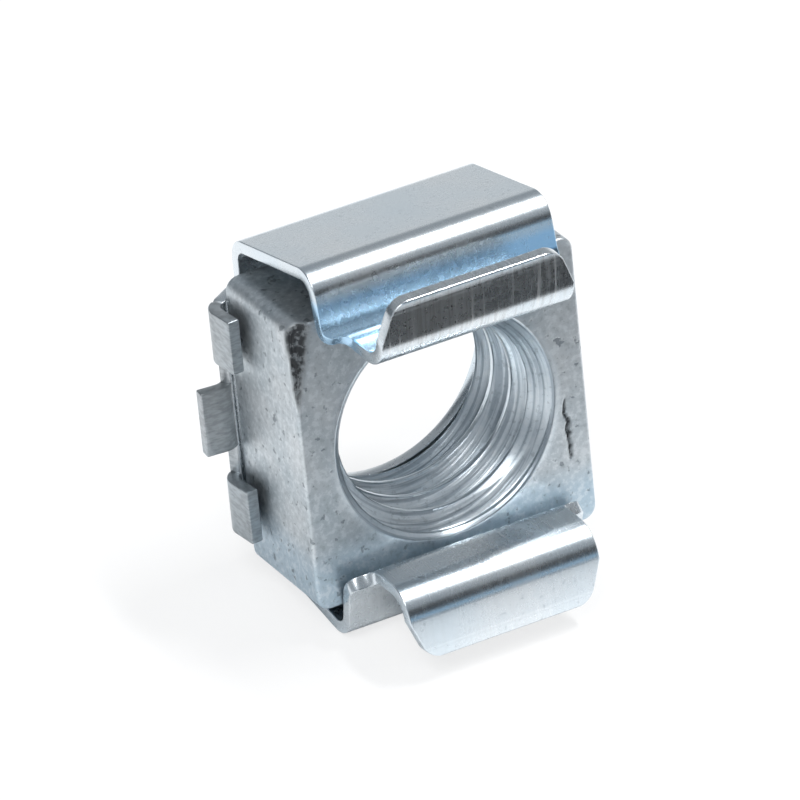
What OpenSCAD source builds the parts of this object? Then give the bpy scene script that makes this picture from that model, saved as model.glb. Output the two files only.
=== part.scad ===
// Rack cage nut: a square nut held loosely in a folded spring-steel cage.
// Both pieces are drawn about the thread axis, with the nut's front face at
// y = 0, the front towards -Y and the lugs above and below the axis. The
// finished part leans back by the splay of its legs, because it stands on the
// lower one, and has its origin on the axis in the middle of the nut.

/* [Nut] */
// Width and height of the square nut
nut_size = 13; // [12:0.1:14]
// Thickness of the nut along the thread
nut_thick = 5.6; // [4.6:0.1:6.5]
// Minor diameter of the thread, which the plain bore has
bore_d = 8.5; // [7.5:0.1:9]
// Diameter of the countersink at either mouth of the thread
countersink_d = 10.1; // [9.4:0.1:10.8]
// Included angle of the countersinks
countersink_angle = 80; // [60:5:100]
// Rounding of the nut's four long edges
nut_round = 0.6; // [0.3:0.1:1]
// Width of the sheared corner across the front face
shear_across = 1.1; // [0.4:0.1:1.8]
// Depth of the sheared corner along the side
shear_back = 0.6; // [0.3:0.1:1.2]
// How far the sheared corner runs down the front edge
shear_down = 4.4; // [2:0.1:6]

/* [Cage] */
// Thickness of the spring steel
sheet = 0.55; // [0.4:0.05:0.7]
// Width of the folded strip
strip_w = 10.9; // [9.5:0.1:12]
// Outward splay of each leg
splay = 10.5; // [6:0.5:13]
// Inside radius of the folds at the back plate
back_fold_r = 0.6; // [0.4:0.1:1]
// Inside radius of the folds at the front
front_fold_r = 0.6; // [0.4:0.1:1]
// Distance from the inside of the front fold to the flange's shoulders
flange_len = 2.5; // [2.2:0.1:3]
// Rounding of the flange's shoulders
shoulder_r = 0.5; // [0.2:0.05:0.6]

/* [Lugs] */
// Width of each lug at its neck
neck_w = 8.8; // [7.6:0.1:9.4]
// Width of each lug at its tip
tip_w = 7.5; // [6:0.1:8]
// Clear height between the two lugs, for the bolt
lug_gap = 10.1; // [9.6:0.1:10.6]
// Inside radius of the lug's two folds
lug_fold_r = 0.9; // [0.7:0.1:1.1]
// Flat between the lug's two folds
lug_flat = 0.9; // [0.4:0.1:1.4]
// Forward lean of the lip
lip_lean = 6; // [0:1:14]
// Length of the flat lip
lip_len = 1.75; // [1.2:0.05:2.4]
// Straight part of the lip, before it narrows
lip_straight = 0.2; // [0.1:0.05:0.4]
// Rounding of the lip's corners
lip_corner_r = 0.6; // [0.3:0.1:1]

/* [Back plate and wings] */
// Diameter of the bolt's way out through the back plate
exit_d = 10.5; // [10.2:0.1:11]
// Height of the wing down each side of the plate
wing_h = 10.2; // [9:0.1:11]
// Forward slant of the wings
wing_slant = 35; // [25:1:45]
// Length of the slanted part of a wing
wing_run = 1.2; // [0.8:0.1:1.6]
// Inside radius of the folds in the wings
wing_fold_r = 0.45; // [0.3:0.05:0.7]
// Height of the claws at the ends of each wing
claw_h = 2.4; // [1.6:0.1:3]
// Length of the straight end of a claw
claw_run = 1.2; // [0.6:0.1:1.8]
// How far a claw closes past square, towards the nut
claw_close = 5; // [0:1:10]
// Height of the spreader tab in the middle of each wing
tab_h = 2.9; // [2:0.1:3.2]
// Length of the straight end of the spreader tab
tab_run = 0.8; // [0.4:0.1:1.4]
// Backward flare of the spreader tab
tab_flare = 5; // [0:1:15]

/* [Fits] */
// Play in height of the nut between the legs
nut_play = 0.72; // [0.4:0.02:1]
// Space between the nut and the back plate
back_gap = 0.7; // [0.3:0.05:1.2]
// Clearance between the nut and the flanges
front_gap = 0.05; // [0.02:0.01:0.3]
// Clearance under the nut where it rests on the lower leg
seat_gap = 0.02; // [0.01:0.01:0.1]

/* [Hidden] */
$fn = 64;
cut = 20;                                     // larger than anything it cuts
over = 1;                                     // how far a cutter passes a face
fold_lap = 4;                                 // how far a fold runs into a flat, in degrees
fold_ease = 0.003;                            // how far it stands back from the flat's faces

slope = tan(splay);
cage_drop = nut_play / 2 - seat_gap;          // nut axis below the cage's middle
plate_y = nut_thick + back_gap;               // front face of the back plate

// Inner faces of a leg and its flange, measured from the cage's middle.
leg_at_nut_back = (nut_size + nut_play) / 2;  // leg height at the nut's back
leg_at_plate = leg_at_nut_back - back_gap * slope;
nut_low_edge = nut_size / 2 + cage_drop;
corner_y = (front_gap - (leg_at_plate + plate_y * slope - nut_low_edge) * slope)
         / (1 + slope * slope);               // inner front corner, forward of the nut
leg_in = (corner_y + plate_y) / cos(splay);   // inner length of a leg
corner_z = leg_at_plate + (corner_y + plate_y) * slope;

back_turn = 90 - splay;
back_tangent = back_fold_r * tan(back_turn / 2);
plate_half = leg_at_plate - back_tangent;     // flat half-height of the plate
leg_flat = leg_in - back_tangent - front_fold_r;

// The lug's first fold ends level, with its underside at the bolt's clearance.
lug_out_r = lug_fold_r + sheet;
lug_turn = 90 - splay;
lug_start_z = lug_gap / 2 + lug_out_r * (1 - sin(splay));
flange_flat = (corner_z - lug_start_z) / cos(splay) - front_fold_r;

module nut() {
    color([0.62, 0.65, 0.68])
    stand() difference() {
        rotate([90, 0, 0])
            translate([0, 0, -nut_thick])
                linear_extrude(nut_thick) nut_outline();
        rotate([90, 0, 0])
            translate([0, 0, -nut_thick - over])
                cylinder(h = nut_thick + 2 * over, d = bore_d);
        countersink();
        translate([0, nut_thick, 0]) rotate([0, 0, 180]) countersink();
        sheared_corner();
    }
}

module nut_outline() {
    half = nut_size / 2 - nut_round;
    square([nut_size, 2 * half], center = true);
    square([2 * half, nut_size], center = true);
    for (x = [-half, half], z = [-half, half])
        translate([x, z]) circle(r = nut_round);
}

// A cone from the face at the origin into the nut, along +Y.
module countersink() {
    depth = (countersink_d - bore_d) / 2 / tan(countersink_angle / 2);
    extra = over * tan(countersink_angle / 2);
    rotate([-90, 0, 0])
        translate([0, 0, -over])
            cylinder(h = depth + over, r1 = countersink_d / 2 + extra, r2 = bore_d / 2);
}

// The blank was sheared off square at one front corner: a flat cut through
// three points on the edges that meet there.
module sheared_corner() {
    across = 1 / shear_across;
    back = 1 / shear_back;
    down = 1 / shear_down;
    level = norm([across, back]);
    azimuth = atan2(back, across);
    tilt = atan2(down, level);
    reach = 1 / norm([across, back, down]);
    translate([-nut_size / 2, 0, nut_size / 2])
        rotate([0, tilt, azimuth])
            translate([reach - cut, -cut / 2, -cut / 2])
                cube([cut, cut, cut]);
}

module cage() {
    color([0.66, 0.70, 0.74])
    stand() translate([0, 0, cage_drop]) {
        back_plate();
        for (side = [0, 1]) {
            mirror([0, 0, side]) arm();
            mirror([side, 0, 0]) wing();
        }
    }
}

// Moves the origin to the middle of the nut and leans the whole part back
// until the lower leg is level.
module stand() rotate([-splay, 0, 0]) translate([0, -nut_thick / 2, 0]) children();

module back_plate() {
    difference() {
        translate([-strip_w / 2, plate_y, -plate_half])
            cube([strip_w, sheet, 2 * plate_half]);
        exit_hole();
    }
}

module exit_hole() {
    translate([0, plate_y + sheet + over, 0])
        rotate([90, 0, 0]) cylinder(h = sheet + 2 * over, d = exit_d);
}

// Sheet runs along +x of its own frame, from y = 0 to y = sheet, with its
// width about z = 0. A fold moves what follows it to its far end.
module flat(length, width) {
    translate([0, 0, -width / 2]) cube([length, sheet, width]);
}

// Turns towards -y.
module fold_in(angle, r, width) {
    translate([0, -r, 0]) {
        mirror([0, 1, 0]) fold(angle, r, width);
        rotate([0, 0, -angle]) translate([0, r, 0]) children();
    }
}

// Turns towards +y.
module fold_out(angle, r, width) {
    translate([0, r + sheet, 0]) {
        fold(angle, r, width);
        rotate([0, 0, angle]) translate([0, -r - sheet, 0]) children();
    }
}

// Runs a little way inside the flats at both ends, so that they join as one.
module fold(angle, r, width) {
    rotate([0, 0, -90 - fold_lap])
        rotate_extrude(angle = angle + 2 * fold_lap)
            translate([r + fold_ease, fold_ease - width / 2])
                square([sheet - 2 * fold_ease, width - 2 * fold_ease]);
}

// Leg, flange and lug, from the top of the back plate.
module arm() {
    translate([0, plate_y, plate_half])
        rotate([0, -90, 0])
            fold_in(back_turn, back_fold_r, strip_w) {
                flat(leg_flat, strip_w);
                translate([leg_flat, 0, 0])
                    fold_in(90, front_fold_r, strip_w)
                        flange_and_lug();
            }
}

module flange_and_lug() {
    flange_end = flange_len - front_fold_r;
    difference() {
        union() {
            flat(flange_flat, strip_w);
            translate([flange_flat, 0, 0])
                fold_out(lug_turn, lug_fold_r, strip_w);
        }
        for (side = [0, 1])
            mirror([0, 0, side]) shoulder_cut(flange_end);
    }
    translate([flange_flat, 0, 0])
        fold_frame(lug_turn, lug_fold_r) {
            flat(lug_flat, neck_w);
            translate([lug_flat, 0, 0])
                fold_out(90 - lip_lean, lug_fold_r, neck_w)
                    lip();
        }
}

// Moves its children past a fold that is drawn elsewhere.
module fold_frame(angle, r) {
    translate([0, r + sheet, 0]) rotate([0, 0, angle])
        translate([0, -r - sheet, 0]) children();
}

// Cuts the strip down to the neck beyond the shoulder, with a rounded
// outer corner and a small fillet at the neck.
module shoulder_cut(flange_end) {
    ledge = (strip_w - neck_w) / 2;
    neck = neck_w / 2 - fold_ease;
    inner_r = min(shoulder_r, ledge / 2);
    translate([0, -cut / 2, 0]) rotate([-90, 0, 0]) mirror([0, 1, 0])
        linear_extrude(cut) {
            difference() {
                translate([flange_end, neck]) square([cut, cut]);
                translate([flange_end, neck]) square(inner_r);
            }
            translate([flange_end + inner_r, neck + inner_r])
                circle(r = inner_r);
            difference() {
                translate([flange_end - inner_r, strip_w / 2 - inner_r])
                    square([inner_r + over, inner_r + over]);
                translate([flange_end - inner_r, strip_w / 2 - inner_r])
                    circle(r = inner_r);
                translate([flange_end, strip_w / 2 - inner_r - over])
                    square([over * 2, over]);
            }
        }
}

// The flat end of a lug, narrower towards its tip, with rounded corners.
module lip() {
    difference() {
        rotate([-90, 0, 0]) linear_extrude(sheet)
            polygon([[0, -neck_w / 2], [lip_straight, -neck_w / 2],
                     [lip_len, -tip_w / 2], [lip_len, tip_w / 2],
                     [lip_straight, neck_w / 2], [0, neck_w / 2]]);
        for (side = [0, 1])
            mirror([0, 0, side]) lip_corner_cut();
    }
}

// What lies outside a circle that touches the tip and the slanted side.
module lip_corner_cut() {
    r = lip_corner_r;
    slant = atan2((neck_w - tip_w) / 2, lip_len - lip_straight);
    centre = [lip_len - r, tip_w / 2 + r * tan(slant) - r / cos(slant)];
    side = [sin(slant), cos(slant)];
    rotate([-90, 0, 0]) mirror([0, 1, 0])
        translate([0, 0, -over]) linear_extrude(sheet + 2 * over)
            difference() {
                polygon([centre, centre + side * (r + over),
                         [lip_len + over, centre.y + r + over],
                         [lip_len + over, centre.y]]);
                translate(centre) circle(r = r);
            }
}

// The wing on the -X side: it slants forward from the plate's edge, then
// splits into a claw at each end and a spreader tab in the middle.
module wing() {
    translate([-strip_w / 2, plate_y, 0])
        mirror([1, 0, 0])
            fold_in(wing_slant, wing_fold_r, wing_h) {
                flat(wing_run, wing_h);
                translate([wing_run, 0, 0]) {
                    for (side = [0, 1])
                        mirror([0, 0, side])
                            translate([0, 0, (wing_h - claw_h) / 2]) claw();
                    spreader_tab();
                }
            }
}

module claw() {
    fold_in(90 + claw_close - wing_slant, wing_fold_r, claw_h)
        flat(claw_run, claw_h);
}

module spreader_tab() {
    fold_out(wing_slant + tab_flare, wing_fold_r, tab_h)
        flat(tab_run, tab_h);
}

cage();
nut();
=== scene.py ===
# %% [markdown]
# # Rack cage nut
#
# A square nut sits loosely in a cage that is folded from one sheet of spring
# steel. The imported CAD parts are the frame: they fix every size and place. This
# lesson adds what a solid model leaves out: the thread, softened edges, the
# rough sheared corner and the look of bright zinc.

import math

import bmesh
import bpy
import numpy as np
from mathutils import Matrix, Vector, noise


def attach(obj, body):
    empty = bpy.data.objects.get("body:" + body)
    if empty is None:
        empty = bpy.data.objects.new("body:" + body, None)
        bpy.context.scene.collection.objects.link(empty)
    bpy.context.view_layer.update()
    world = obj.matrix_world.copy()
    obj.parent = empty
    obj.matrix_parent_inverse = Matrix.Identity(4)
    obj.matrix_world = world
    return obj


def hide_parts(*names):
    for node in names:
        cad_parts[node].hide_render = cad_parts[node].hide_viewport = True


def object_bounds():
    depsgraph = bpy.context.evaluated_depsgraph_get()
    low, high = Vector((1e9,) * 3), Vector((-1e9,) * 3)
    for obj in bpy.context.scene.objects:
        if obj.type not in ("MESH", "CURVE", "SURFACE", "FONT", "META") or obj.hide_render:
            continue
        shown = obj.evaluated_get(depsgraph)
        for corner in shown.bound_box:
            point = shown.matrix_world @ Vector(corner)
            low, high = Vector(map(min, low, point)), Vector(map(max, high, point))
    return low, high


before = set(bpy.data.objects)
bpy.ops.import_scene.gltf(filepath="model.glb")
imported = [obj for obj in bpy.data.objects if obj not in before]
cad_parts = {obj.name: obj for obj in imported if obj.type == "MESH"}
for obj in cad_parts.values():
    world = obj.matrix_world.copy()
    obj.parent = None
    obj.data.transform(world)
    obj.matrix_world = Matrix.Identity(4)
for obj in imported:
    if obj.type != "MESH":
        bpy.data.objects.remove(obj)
cad_lo, cad_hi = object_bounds()
MM = 0.001
print("CAD box, mm:", [round(v / MM, 2) for v in (*cad_lo, *cad_hi)])

# %% [markdown]
# ## Socket arithmetic
#
# A shader is easier to read as a sum than as a picture of wires. A small class
# wraps a socket, so that `mask * 0.3 + 0.1` adds the Math nodes for itself.

# %% Socket wrapper
class Sock:
    """A shader socket, with the operators that the finishes use."""

    def __init__(self, tree, socket):
        self.tree = tree
        self.socket = socket

    def node(self, kind, settings=(), inputs=(), out=0):
        """Makes any node: its settings first, then its sockets' values or links."""
        made = self.tree.nodes.new(kind)
        for name, value in dict(settings).items():
            setattr(made, name, value)
        for name, value in dict(inputs).items():
            target = made.inputs[name]
            if isinstance(value, Sock):
                self.tree.links.new(value.socket, target)
            else:
                target.default_value = value
        return Sock(self.tree, made.outputs[out])

    def math(self, operation, first, second=0.0, clamp=False):
        return self.node("ShaderNodeMath", {"operation": operation, "use_clamp": clamp}, {0: first, 1: second})

    def __add__(self, other):
        return self.math("ADD", self, other)

    __radd__ = __add__

    def __sub__(self, other):
        return self.math("SUBTRACT", self, other)

    def __rsub__(self, other):
        return self.math("SUBTRACT", other, self)

    def __mul__(self, other):
        return self.math("MULTIPLY", self, other)

    __rmul__ = __mul__

    def clamped(self):
        return self.math("ADD", self, 0.0, clamp=True)

    def step(self, low, high):
        """0 below low, 1 above high and a smooth rise between."""
        return self.node(
            "ShaderNodeMapRange",
            {"interpolation_type": "SMOOTHSTEP"},
            {"Value": self, "From Min": low, "From Max": high},
        )

    def mix(self, first, second):
        """Colour that goes from the first to the second as this value goes from 0 to 1."""
        return self.node(
            "ShaderNodeMix",
            {"data_type": "RGBA"},
            {"Factor": self, 6: first, 7: second},
            out=2,
        )


def grain(coords, scale, stretch=(1, 1, 1), detail=3.0, rough=0.5):
    """Noise on object coordinates; scale is in lumps per millimetre."""
    place = coords.node(
        "ShaderNodeMapping", {}, {"Vector": coords, "Scale": [s * scale / MM for s in stretch]}
    )
    return coords.node(
        "ShaderNodeTexNoise", {}, {"Vector": place, "Scale": 1.0, "Detail": detail, "Roughness": rough}
    )


def new_material(name):
    """An empty material with its coordinates, and its shader left to set."""
    material = bpy.data.materials.new(name)
    material.use_nodes = True
    tree = material.node_tree
    shader = tree.nodes["Principled BSDF"]
    coords = Sock(tree, tree.nodes.new("ShaderNodeTexCoord").outputs["Object"])
    return material, tree, shader, coords

# %% [markdown]
# ## Bright zinc
#
# Both pieces are plated. The plating on the cage is smooth and takes a faint
# bluish tone from its passivation; the nut's is duller and finely pitted. The
# steel under it was drawn through dies, so the lugs carry fine lines along the
# fold direction, which a noise stretched along one axis gives. The cage's upper
# flange and the nut's lower part also carry a painted bluish reflection, and the
# split in the nut's front face a painted shade.

# %% The cage's finish
def cage_zinc():
    material, tree, shader, at = new_material("bright_zinc_sheet")
    split = {"Vector": at}
    side = at.node("ShaderNodeSeparateXYZ", {}, split, out=0)
    ahead = at.node("ShaderNodeSeparateXYZ", {}, split, out=1) * -1.0
    high = at.node("ShaderNodeSeparateXYZ", {}, split, out=2)
    lug = ahead.step(3.9 * MM, 4.6 * MM) * (high.step(0, MM) * 0.8 + 0.2)
    wing = at.math("ABSOLUTE", side).step(6.55 * MM, 6.9 * MM)
    cloud = grain(at, 0.22)
    fine = grain(at, 3.2, detail=4.0, rough=0.6)
    lines = grain(at, 1.0, (7, 0.3, 0.22), detail=5.0, rough=0.7)
    ribs = grain(at, 1.0, (2.5, 2.5, 9), detail=4.0)
    scratch = lines.step(0.56, 0.70) * (0.06 + lug * 0.94)
    grime = lines.step(0.50, 0.38) * lug
    speck = fine.step(0.60, 0.72)
    colour = cloud.step(0.25, 0.75).mix((0.59, 0.655, 0.70, 1), (0.67, 0.695, 0.71, 1))
    hollow = ahead.step(0.6 * MM, 1.4 * MM) * ahead.step(4.0 * MM, 3.0 * MM)
    # Painted reflection: the upper flange and the lug trough below it are tinted bluish.
    painted_flange_reflection = hollow * high.step(5.2 * MM, 5.8 * MM) * high.step(8.2 * MM, 7.7 * MM)
    colour = (painted_flange_reflection * 0.85).mix(colour, (0.40, 0.62, 0.82, 1))
    colour = (speck * 0.35).mix(colour, (0.28, 0.32, 0.35, 1))
    colour = (scratch * 0.6).mix(colour, (0.95, 0.95, 0.94, 1))
    colour = (grime * 0.35).mix(colour, (0.36, 0.36, 0.35, 1))
    colour = (wing * (0.45 + ribs.step(0.35, 0.65) * 0.22)).mix(colour, (0.15, 0.16, 0.165, 1))
    rough = 0.18 + cloud * 0.08 + fine * 0.10 + scratch * 0.12 + wing * 0.15
    height = fine * 0.18 + lines * lug * 0.6 + ribs * wing * 1.5
    bump = at.node(
        "ShaderNodeBump", {}, {"Strength": 0.16, "Distance": 0.012 * MM, "Height": height}
    )
    shader.inputs["Metallic"].default_value = 1.0
    tree.links.new(colour.socket, shader.inputs["Base Color"])
    tree.links.new(rough.socket, shader.inputs["Roughness"])
    tree.links.new(bump.socket, shader.inputs["Normal"])
    return material


# %% The nut's finish
LEAN = math.radians(10.5)
AXIS = Vector((0, math.cos(LEAN), -math.sin(LEAN)))


def nut_zinc():
    material, tree, shader, at = new_material("dull_zinc_block")
    deep = at.node("ShaderNodeVectorMath", {"operation": "DOT_PRODUCT"}, {0: at, 1: AXIS}, out=1)
    along = at.node("ShaderNodeVectorMath", {"operation": "SCALE"}, {0: AXIS, "Scale": deep})
    off_axis = at.node("ShaderNodeVectorMath", {"operation": "SUBTRACT"}, {0: at, 1: along})
    away = at.node("ShaderNodeVectorMath", {"operation": "LENGTH"}, {0: off_axis}, out=1)
    bore = away.step(5.5 * MM, 5.0 * MM)
    tear_and_split_shade = at.node("ShaderNodeAttribute", {"attribute_name": "tear_and_split_shade"}, {}, out=2)
    cloud = grain(at, 0.30)
    fine = grain(at, 3.4, detail=5.0, rough=0.65)
    pit = grain(at, 2.7, detail=3.0).step(0.63, 0.70)
    rings = at.node("ShaderNodeCombineXYZ", {}, {"X": deep * (7 / MM), "Y": away * (3 / MM)})
    ring = at.node("ShaderNodeTexNoise", {}, {"Vector": rings, "Scale": 1.0, "Detail": 3.0})
    # The tear mark darkens the torn corner's rough surface and lays painted shade down the split in the front
    # face.
    dark = (tear_and_split_shade * (0.55 + fine.step(0.38, 0.55) * 0.45)).clamped()
    colour = cloud.step(0.3, 0.7).mix((0.45, 0.50, 0.53, 1), (0.56, 0.585, 0.60, 1))
    # Painted reflection: the nut is tinted bluish below 2.8 mm under its middle, fully so below 4.6 mm.
    low = at.node("ShaderNodeSeparateXYZ", {}, {"Vector": at}, out=2).step(-2.8 * MM, -4.6 * MM)
    colour = (low * 0.5).mix(colour, (0.40, 0.55, 0.66, 1))
    colour = bore.mix(colour, (0.66, 0.72, 0.76, 1))
    groove = ring.step(0.54, 0.42) * bore
    colour = (fine.step(0.48, 0.62) * 0.40).mix(colour, (0.78, 0.81, 0.83, 1))
    colour = (fine.step(0.44, 0.34) * 0.35).mix(colour, (0.25, 0.28, 0.30, 1))
    colour = (pit * (1 - bore) * 0.6).mix(colour, (0.14, 0.16, 0.18, 1))
    colour = (groove * 0.55).mix(colour, (0.20, 0.25, 0.30, 1))
    colour = (dark * 0.95).mix(colour, (0.04, 0.042, 0.045, 1))
    rough = 0.36 + cloud * 0.12 - bore * 0.14 + fine * 0.10 + dark * 0.2
    height = fine * 0.6 - pit * (1 - bore) + ring * bore * 3.0
    bump = at.node(
        "ShaderNodeBump", {}, {"Strength": 0.35, "Distance": 0.03 * MM, "Height": height}
    )
    shader.inputs["Metallic"].default_value = 1.0
    tree.links.new(colour.socket, shader.inputs["Base Color"])
    tree.links.new(rough.socket, shader.inputs["Roughness"])
    tree.links.new(bump.socket, shader.inputs["Normal"])
    return material


sheet_finish = cage_zinc()
block_finish = nut_zinc()
print("finishes:", sheet_finish.name, block_finish.name)

# %% [markdown]
# ## The cage
#
# The real cage is blanked and folded from one sheet. A folded strip is a
# thickness carried along a path of flats and arcs, so a small turtle walks that
# path and lays a rounded section at each step. The strip's half-width is a
# rule of the distance walked, which gives the shoulders, necks and lips. The
# wings are walked in the same way and join the strip inside its thickness.

# %% Sizes of the sheet
SHEET = 0.55 * MM
DRAWN = SHEET - 0.008 * MM
STRIP = 10.9 * MM
NECK = 8.8 * MM
TIP = 7.5 * MM
LIP = 1.75 * MM
LIP_CORNER = 0.6 * MM
SHOULDER = 0.5 * MM
PLATE_Y = 6.3 * MM
PLATE_HALF = 6.2312 * MM
LEG = 5.1647 * MM
FLANGE = 1.0638 * MM
LUG_FLAT = 0.9 * MM
FOLD = 0.6 * MM
LUG_FOLD = 0.9 * MM
WING_FOLD = 0.45 * MM
DROP = 0.34 * MM
THICK = 5.6 * MM
EDGE = 0.06 * MM
EXIT = 5.25 * MM
ARC_STEP = math.radians(4)


def walk(start, heading, legs, step=0.25 * MM):
    """Stations (place, across-direction, distance) along flats and arcs.

    A leg is a length, or a pair of turn and mid-sheet radius; a turn to the
    left is positive. Places are 2D.
    """
    place = Vector(start)
    walked = 0.0
    stations = [(place.copy(), Vector((-math.sin(heading), math.cos(heading))), 0.0)]
    for leg in legs:
        if isinstance(leg, tuple):
            turn, radius = leg
            count = max(int(abs(turn) / ARC_STEP), 2)
            for _ in range(count):
                part = turn / count
                chord = 2 * radius * math.sin(abs(part) / 2)
                heading += part / 2
                place += Vector((math.cos(heading), math.sin(heading))) * chord
                heading += part / 2
                walked += radius * abs(part)
                stations.append((place.copy(), Vector((-math.sin(heading), math.cos(heading))), walked))
        else:
            count = max(int(leg / step), 1)
            for _ in range(count):
                place += Vector((math.cos(heading), math.sin(heading))) * (leg / count)
                walked += leg / count
                stations.append((place.copy(), Vector((-math.sin(heading), math.cos(heading))), walked))
    return stations


def section_loop(half_width, half_thick, round_by, corner_steps=3):
    """A rounded rectangle as (width, thickness) pairs."""
    round_by = min(round_by, half_thick * 0.95, half_width * 0.95)
    loop = []
    for quarter, (sx, sy) in enumerate(((1, 1), (-1, 1), (-1, -1), (1, -1))):
        for i in range(corner_steps + 1):
            a = math.pi / 2 * (quarter + i / corner_steps)
            loop.append((
                sx * (half_width - round_by) + round_by * math.cos(a),
                sy * (half_thick - round_by) + round_by * math.sin(a),
            ))
    return loop


def sweep(shell, stations, half_width, to_space, thick=DRAWN):
    """Adds a closed sheet along the stations; half_width is a rule of distance."""
    total = stations[-1][2]
    rings = []
    for place, across, walked in stations:
        near = min(total - walked, walked)
        inset = 0.0
        if near < EDGE:
            inset = EDGE - math.sqrt(max(EDGE * EDGE - (EDGE - near) ** 2, 0.0))
        loop = section_loop(half_width(walked) - inset, thick / 2 - inset, EDGE)
        rings.append([
            shell.verts.new(to_space(place + across * t, w)) for w, t in loop
        ])
    for first, second in zip(rings, rings[1:]):
        for i in range(len(first)):
            j = (i + 1) % len(first)
            shell.faces.new((first[i], first[j], second[j], second[i]))
    shell.faces.new(rings[0])
    shell.faces.new(rings[-1])


def finer_ends(stations, spots):
    """Adds stations at the given distances, between those that are there."""
    done = list(stations)
    for spot in spots:
        for before, after in zip(stations, stations[1:]):
            if before[2] < spot < after[2]:
                t = (spot - before[2]) / (after[2] - before[2])
                place = before[0].lerp(after[0], t)
                across = before[1].lerp(after[1], t).normalized()
                done.append((place, across, spot))
                break
    return sorted(done, key=lambda station: station[2])

# %% Walk the strip
mid = SHEET / 2
fold_mid = FOLD + mid
lug_mid = LUG_FOLD + mid
back_turn = math.radians(79.5)
lip_turn = math.radians(84)
arm = [
    PLATE_HALF, (back_turn, fold_mid), LEG, (math.pi / 2, fold_mid), FLANGE,
    (-back_turn, lug_mid), LUG_FLAT, (-lip_turn, lug_mid), LIP,
]
arm_length = sum(leg[1] * abs(leg[0]) if isinstance(leg, tuple) else leg for leg in arm)
shoulder_at = (
    PLATE_HALF + back_turn * fold_mid + LEG + math.pi / 2 * fold_mid + FLANGE
    + lug_mid * math.asin((1.9 * MM - FLANGE) / lug_mid)
)


def strip_half(walked):
    """Half-width of an arm: strip, shoulder, neck and tapering lip."""
    r = SHOULDER
    if walked < shoulder_at - r:
        return STRIP / 2
    if walked < shoulder_at:
        return STRIP / 2 - r + math.sqrt(max(r * r - (walked - shoulder_at + r) ** 2, 0.0))
    if walked < shoulder_at + r:
        return NECK / 2 + r - math.sqrt(max(r * r - (shoulder_at + r - walked) ** 2, 0.0))
    left = arm_length - walked
    if left > LIP:
        return NECK / 2
    half = TIP / 2 + (NECK - TIP) / 2 * left / LIP
    if left < LIP_CORNER:
        r = LIP_CORNER
        half -= r - math.sqrt(max(r * r - (r - left) ** 2, 0.0))
    return half


def stood(x, y, z):
    """From the nut's own axes to the finished part, which leans back."""
    y -= THICK / 2
    return Vector((x, y * math.cos(LEAN) + z * math.sin(LEAN), -y * math.sin(LEAN) + z * math.cos(LEAN)))


def strip_space(upside):
    return lambda flat, w: stood(w, flat.x, flat.y * upside + DROP)


fine = [shoulder_at + SHOULDER * math.sin(math.radians(a)) * 0.999 for a in range(-88, 89, 8)]
fine += [shoulder_at + SHOULDER * (1 - math.cos(math.radians(a))) * k for a in range(4, 60, 6) for k in (-1, 1)]
fine += [arm_length - LIP_CORNER * (1 - math.cos(math.radians(a))) for a in range(6, 90, 7)]
fine += [arm_length - EDGE * (1 - math.cos(math.radians(a))) for a in (30, 60)]
stations = finer_ends(walk((PLATE_Y + mid, 0), math.pi / 2, arm), fine)
print("arm length, mm:", round(arm_length / MM, 3), "stations:", len(stations))

# %% Join two arms into the strip and cut the bolt's way out
def new_piece(name, shell):
    bmesh.ops.remove_doubles(shell, verts=shell.verts, dist=0.0005 * MM)
    bmesh.ops.recalc_face_normals(shell, faces=shell.faces)
    mesh = bpy.data.meshes.new(name)
    shell.to_mesh(mesh)
    shell.free()
    piece = bpy.data.objects.new(name, mesh)
    bpy.context.collection.objects.link(piece)
    return piece


def apply_modifiers(piece):
    """Turns the piece with its modifiers into a plain mesh."""
    evaluated = piece.evaluated_get(bpy.context.evaluated_depsgraph_get())
    mesh = bpy.data.meshes.new_from_object(evaluated)
    piece.modifiers.clear()
    piece.data = mesh


def whole_strip():
    """One path from the lower lip's tip to the upper one's."""
    upper = [(place, across, arm_length + walked) for place, across, walked in stations]
    lower = [
        (Vector((place.x, -place.y)), Vector((across.x, -across.y)), arm_length - walked)
        for place, across, walked in reversed(stations[1:])
    ]
    shell = bmesh.new()
    sweep(shell, lower + upper, lambda walked: strip_half(abs(walked - arm_length)), strip_space(1))
    return new_piece("cage_sheet", shell)


def exit_cutter():
    """A turned plug whose flared ends round the hole's two edges."""
    shell = bmesh.new()
    profile = [(EXIT + 0.3 * MM, -0.3 * MM), (EXIT + EDGE, 0.0), (EXIT + 0.3 * EDGE, 0.3 * EDGE), (EXIT, EDGE)]
    profile += [(r, SHEET - y) for r, y in reversed(profile)]
    count = 128
    rings = []
    for r, y in profile:
        turns = [math.tau * i / count for i in range(count)]
        rings.append([
            shell.verts.new(stood(r * math.cos(a), PLATE_Y + y, r * math.sin(a) + DROP)) for a in turns
        ])
    for first, second in zip(rings, rings[1:]):
        for i in range(count):
            j = (i + 1) % count
            shell.faces.new((first[i], first[j], second[j], second[i]))
    shell.faces.new(rings[0])
    shell.faces.new(rings[-1])
    return new_piece("exit_cutter", shell)


cage_sheet = whole_strip()
cutter = exit_cutter()
cut = cage_sheet.modifiers.new("exit", "BOOLEAN")
cut.operation = "DIFFERENCE"
cut.solver = "EXACT"
cut.object = cutter
apply_modifiers(cage_sheet)
bpy.data.objects.remove(cutter)
print("strip faces:", len(cage_sheet.data.polygons))

# %% [markdown]
# The wings hold the nut from behind. Each slants forward from the plate's edge
# and splits: a claw at each end curls round the nut's side, and a tab in the
# middle flares out, to be pressed when the cage is clipped in.

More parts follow.
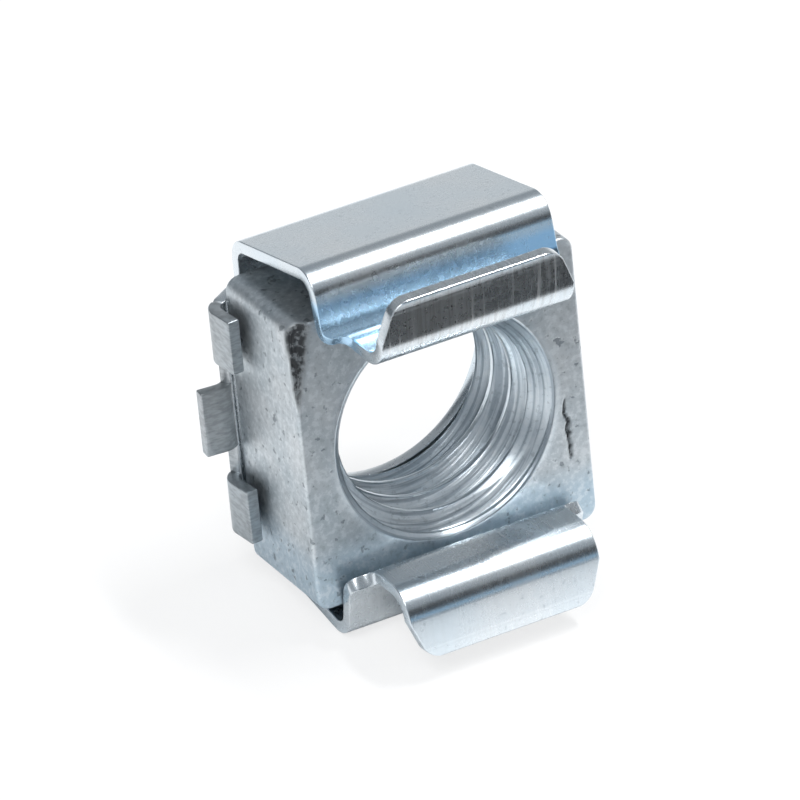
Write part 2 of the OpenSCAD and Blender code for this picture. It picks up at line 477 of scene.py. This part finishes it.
# %% Walk the wings
WING_HALF = 5.1 * MM
CLAW_HALF = 1.2 * MM
TAB_HALF = 1.45 * MM
WING_RUN = 1.2 * MM
CLAW_RUN = 1.2 * MM
TAB_RUN = 0.8 * MM
STUB = 0.15 * MM
INSIDE = 0.004 * MM
slant = math.radians(35)
wing_mid = WING_FOLD + mid


def wing(shell, side):
    def space(middle):
        return lambda flat, w: stood(flat.x * side, flat.y, w + middle + DROP)

    root = (STRIP / 2 - STUB, PLATE_Y + mid)
    slope = walk(root, 0.0, [STUB, (-slant, wing_mid), WING_RUN])
    sweep(shell, slope, lambda walked: WING_HALF, space(0), DRAWN - INSIDE)
    end = slope[-1][0] - Vector((math.cos(slant), -math.sin(slant))) * STUB
    claw = walk(end, -slant, [STUB, (math.radians(-60), wing_mid), CLAW_RUN])
    claw = finer_ends(claw, [claw[-1][2] - EDGE * k for k in (0.14, 0.5, 1)])
    for middle in (WING_HALF - CLAW_HALF, CLAW_HALF - WING_HALF):
        sweep(shell, claw, lambda walked: CLAW_HALF - INSIDE, space(middle), DRAWN - 2 * INSIDE)
    tab = walk(end, -slant, [STUB, (math.radians(40), wing_mid), TAB_RUN])
    tab = finer_ends(tab, [tab[-1][2] - EDGE * k for k in (0.14, 0.5, 1)])
    sweep(shell, tab, lambda walked: TAB_HALF, space(0), DRAWN - 2 * INSIDE)


def join_wings(piece):
    shell = bmesh.new()
    for side in (-1, 1):
        wing(shell, side)
    wings = new_piece("wings", shell)
    joined = bmesh.new()
    joined.from_mesh(piece.data)
    joined.from_mesh(wings.data)
    joined.to_mesh(piece.data)
    joined.free()
    bpy.data.objects.remove(wings)
    piece.data.shade_smooth()
    weigh = piece.modifiers.new("flats", "WEIGHTED_NORMAL")
    weigh.keep_sharp = True
    weigh.weight = 100
    apply_modifiers(piece)


join_wings(cage_sheet)
cage_sheet.data.materials.clear()
cage_sheet.data.materials.append(sheet_finish)
print("cage faces:", len(cage_sheet.data.polygons))

# %% [markdown]
# ## The nut and its thread
#
# A nut is a ring, so its whole skin can be one grid: one way goes round the
# axis, the other goes out over the front face, back along a side, in over the
# back face and home through the bore. In the bore the radius follows a rule:
# it rises and falls with the turn and the depth, which is what a thread is.

# %% Sizes of the nut
NUT = 13.0 * MM
MINOR = 4.25 * MM
MOUTH = 5.05 * MM
BACK_MOUTH = 4.62 * MM
PITCH = 1.5 * MM
DEPTH = 0.72 * MM
ROUND = 0.6 * MM
RIM = 0.14 * MM
TURNS_ROUND = 256
THREAD_ROWS = 150
cone = math.tan(math.radians(40))


def outline(angle, size, r):
    """Distance from the axis to a rounded square's edge, at an angle."""
    x, z = abs(math.cos(angle)), abs(math.sin(angle))
    big, small = max(x, z), min(x, z)
    half = size / 2
    flat_reach = half / big
    if flat_reach * small <= half - r:
        return flat_reach
    centre = half - r
    along = centre * (x + z)
    return along + math.sqrt(max(along * along - 2 * centre * centre + r * r, 0.0))


def thread_radius(turn, depth):
    """Radius of the bore's wall: the thread, or the countersinks where they are wider."""
    phase = (depth / PITCH + turn / math.tau) % 1.0
    crest = abs(2 * phase - 1)
    flank = min(max((crest - 0.16) / 0.74, 0.0), 1.0)
    wall = MINOR + DEPTH * flank
    front = MOUTH - depth * cone
    back = BACK_MOUTH - (THICK - depth) * cone
    return max(min(wall, BACK_MOUTH + (THICK - depth)), front, back)


def section(turn):
    """Points (radius, depth) once round the nut's ring at one angle."""
    points = []
    for i in range(26):
        t = i / 26
        reach = outline(turn, NUT - 2 * RIM, ROUND)
        points.append((MOUTH + (reach - MOUTH) * t, 0.0))
    for side in (0, 1):
        for i in range(7):
            a = math.pi / 2 * i / 6
            inset = RIM * (1 - (math.sin(a) if side == 0 else math.cos(a)))
            deep = RIM * (1 - (math.cos(a) if side == 0 else math.sin(a)))
            reach = outline(turn, NUT - 2 * inset, ROUND)
            points.append((reach, deep if side == 0 else THICK - deep))
        if side == 0:
            reach = outline(turn, NUT, ROUND)
            points += [(reach, RIM + (THICK - 2 * RIM) * i / 22) for i in range(1, 22)]
    for i in range(1, 9):
        reach = outline(turn, NUT - 2 * RIM, ROUND)
        points.append((reach + (BACK_MOUTH - reach) * i / 8, THICK))
    for i in range(1, THREAD_ROWS):
        depth = THICK * (1 - i / THREAD_ROWS)
        points.append((thread_radius(turn, depth), depth))
    return points

# %% Shear the corner and lay the skin
SHEAR = (1.1 * MM, 0.6 * MM, 4.4 * MM)


def rough(point, size, strength):
    return noise.fractal(Vector(point) / (size * MM), 0.9, 2.1, 4) * strength * MM


def sheared(x, y, z):
    """Pulls a point beyond the shear's plane back onto it, torn rough."""
    across, back, down = SHEAR
    dx, dy, dz = x + NUT / 2, y, NUT / 2 - z
    past = 1 - (dx / across + dy / back + dz / down)
    if past <= 0:
        return x, y, z
    normal = Vector((1 / across, 1 / back, -1 / down))
    move = normal * (past / normal.length_squared)
    torn = abs(rough((x, y, z), 0.30, 0.22)) * min(past * 6, 1)
    move -= normal.normalized() * min(torn, move.length * 0.5)
    return x + move.x, y + move.y, z + move.z


def cracked(x, y, z):
    """Sinks the front face along a jagged split near its right-hand edge."""
    low, high = -3.5 * MM, -0.6 * MM
    if y > 0.01 * MM or x < 0 or not low < z < high:
        return x, y, z
    along = (z - low) / (high - low)
    middle = (5.60 - 0.17 * along) * MM + rough((0, 0, z), 0.5, 0.16)
    half = (0.05 + 0.07 * math.sin(math.pi * along)) * MM
    near = max(1 - abs(x - middle) / half, 0.0)
    return x, y + 0.22 * MM * near * math.sin(math.pi * along) ** 0.5, z


def nut_skin():
    angles = []
    for i in range(TURNS_ROUND):
        t = i / TURNS_ROUND * 8
        whole = math.floor(t)
        part = t - whole
        warped = part ** 0.72 if whole % 2 == 0 else 1 - (1 - part) ** 0.72
        angles.append((whole + warped) * math.pi / 4)
    lean = Matrix.Rotation(-LEAN, 3, "X")
    verts = []
    tear_and_split_shade = []
    rows = 0
    for turn in angles:
        ring = section(turn)
        rows = len(ring)
        for radius, depth in ring:
            x, z, y = radius * math.cos(turn), radius * math.sin(turn), depth
            # The mark is how far the shear or the split moved a point: the torn corner's darker surface and
            # painted shade in the split.
            mark = 0.0
            if radius > MOUTH:
                before = Vector((x, y, z))
                x, y, z = sheared(*cracked(x, y, z))
                mark = min((Vector((x, y, z)) - before).length / (0.08 * MM), 1.0)
            tear_and_split_shade.append(mark)
            verts.append(lean @ Vector((x, y - THICK / 2, z)))
    faces = []
    for i in range(TURNS_ROUND):
        j = (i + 1) % TURNS_ROUND
        for k in range(rows):
            m = (k + 1) % rows
            faces.append((i * rows + k, i * rows + m, j * rows + m, j * rows + k))
    mesh = bpy.data.meshes.new("nut_block")
    mesh.from_pydata(verts, [], faces)
    shell = bmesh.new()
    shell.from_mesh(mesh)
    bmesh.ops.recalc_face_normals(shell, faces=shell.faces)
    shell.to_mesh(mesh)
    shell.free()
    mesh.shade_smooth()
    mesh.attributes.new("tear_and_split_shade", "FLOAT", "POINT").data.foreach_set("value", tear_and_split_shade)
    piece = bpy.data.objects.new("nut_block", mesh)
    bpy.context.collection.objects.link(piece)
    return piece


nut_block = nut_skin()
nut_block.data.materials.append(block_finish)
print("nut faces:", len(nut_block.data.polygons))

# %% [markdown]
# ## Hand the pieces to the frame
#
# Each piece stands for its CAD node, which is hidden, and rides with the one
# body that the part has.

# %% Ride and replace
for piece, node, slot in ((cage_sheet, "cage", "cage_steel"), (nut_block, "nut", "nut_steel")):
    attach(piece, "root")
    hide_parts(node)

# %% [markdown]
# ## Studio
#
# Bright metal shows its surroundings more than itself. A pale floor and sky
# give it its light faces; dark cards, which only reflections see, give the
# grey bands that make folds readable; soft lamps lay the highlights on them.

# %% Floor and sky
FLOOR = 0.6


def camera_ray(tree):
    path = tree.nodes.new("ShaderNodeLightPath")
    return Sock(tree, path.outputs["Is Camera Ray"])


def pale_floor():
    mesh = bpy.data.meshes.new("floor")
    z = cad_lo.z - 0.02 * MM
    corners = [(-FLOOR, -FLOOR, z), (FLOOR, -FLOOR, z), (FLOOR, FLOOR, z), (-FLOOR, FLOOR, z)]
    mesh.from_pydata(corners, [], [(0, 1, 2, 3)])
    floor = bpy.data.objects.new("floor", mesh)
    bpy.context.collection.objects.link(floor)
    material, tree, shader, at = new_material("floor_paper")
    shader.inputs["Base Color"].default_value = (0.93, 0.93, 0.93, 1)
    shader.inputs["Roughness"].default_value = 1.0
    shader.inputs["Specular IOR Level"].default_value = 0.0
    seen = camera_ray(tree) * 0.75
    white = seen.node("ShaderNodeEmission", {}, {"Color": (1, 1, 1, 1), "Strength": 1.0})
    blend = tree.nodes.new("ShaderNodeMixShader")
    tree.links.new(seen.socket, blend.inputs[0])
    tree.links.new(shader.outputs[0], blend.inputs[1])
    tree.links.new(white.socket, blend.inputs[2])
    tree.links.new(blend.outputs[0], tree.nodes["Material Output"].inputs["Surface"])
    mesh.materials.append(material)


def sky():
    world = bpy.data.worlds.new("studio")
    bpy.context.scene.world = world
    world.use_nodes = True
    tree = world.node_tree
    ground = tree.nodes["Background"]
    seen = camera_ray(tree)
    colour = seen.mix((0.34, 0.37, 0.40, 1), (1, 1, 1, 1))
    tree.links.new(colour.socket, ground.inputs["Color"])
    ground.inputs["Strength"].default_value = 1.0


pale_floor()
sky()

# %% Lamps and cards
def aimed(obj, spot, target):
    obj.location = spot
    obj.rotation_euler = (Vector(target) - Vector(spot)).to_track_quat("-Z", "Y").to_euler()


def lamp(name, spot, width, height, watts):
    light = bpy.data.lights.new(name, "AREA")
    light.shape = "RECTANGLE"
    light.size = width
    light.size_y = height
    light.energy = watts
    made = bpy.data.objects.new(name, light)
    bpy.context.collection.objects.link(made)
    aimed(made, spot, (0, 0, 0))


def card(name, spot, width, height, tone, aim=(0, 0, 0)):
    """A grey card that only reflections see."""
    mesh = bpy.data.meshes.new(name)
    w, h = width / 2, height / 2
    mesh.from_pydata([(-w, -h, 0), (w, -h, 0), (w, h, 0), (-w, h, 0)], [], [(0, 1, 2, 3)])
    made = bpy.data.objects.new(name, mesh)
    bpy.context.collection.objects.link(made)
    aimed(made, spot, aim)
    material, tree, shader, at = new_material(name)
    glow = at.node("ShaderNodeEmission", {}, {"Color": (*tone, 1), "Strength": 1.0})
    tree.links.new(glow.socket, tree.nodes["Material Output"].inputs["Surface"])
    mesh.materials.append(material)
    for flag in ("visible_camera", "visible_diffuse", "visible_shadow", "visible_transmission"):
        setattr(made, flag, False)


lamp("key", (-0.16, -0.10, 0.30), 0.16, 0.16, 0.60)
lamp("crest", (0.125, 0.005, 0.29), 0.13, 0.030, 0.75)
lamp("fill", (0.28, -0.20, 0.16), 0.10, 0.10, 0.14)
card("front_dark", (0.022, -0.043, -0.0062), 0.085, 0.050, (0.015, 0.016, 0.018), (0.022, -0.043, -1))
card("brow_dark", (0.13, -0.25, 0.125), 0.40, 0.125, (0.010, 0.010, 0.012))
card("front_blue", (0.13, -0.30, 0.030), 0.30, 0.045, (0.34, 0.60, 0.84))
card("back_white", (0.15, 0.30, 0.02), 0.26, 0.12, (0.60, 0.63, 0.65))
card("left_dark", (-0.14, 0.16, 0.02), 0.20, 0.14, (0.10, 0.12, 0.14))
print("studio is up")

# %% [markdown]
# ## Camera
#
# A long lens from the front left and above keeps the edges nearly parallel.

# %% Camera
BACK = Vector((-0.389, -0.692, 0.608)).normalized()
RANGE = 0.4
ACROSS = 32.26 * MM


def set_camera():
    data = bpy.data.cameras.new("camera")
    camera = bpy.data.objects.new("camera", data)
    bpy.context.collection.objects.link(camera)
    right = Vector((0, 0, 1)).cross(BACK).normalized()
    up = BACK.cross(right)
    mouth = Vector((0, -math.cos(LEAN), math.sin(LEAN))) * (THICK / 2)
    target = mouth - right * (1.835 * MM) + up * (0.988 * MM)
    camera.location = target + BACK * RANGE
    camera.rotation_euler = BACK.to_track_quat("Z", "Y").to_euler()
    data.sensor_width = 36
    data.lens = data.sensor_width * RANGE / ACROSS
    data.clip_start = 0.01
    data.clip_end = 5.0
    bpy.context.scene.camera = camera


set_camera()
bpy.context.scene.view_settings.view_transform = "Standard"
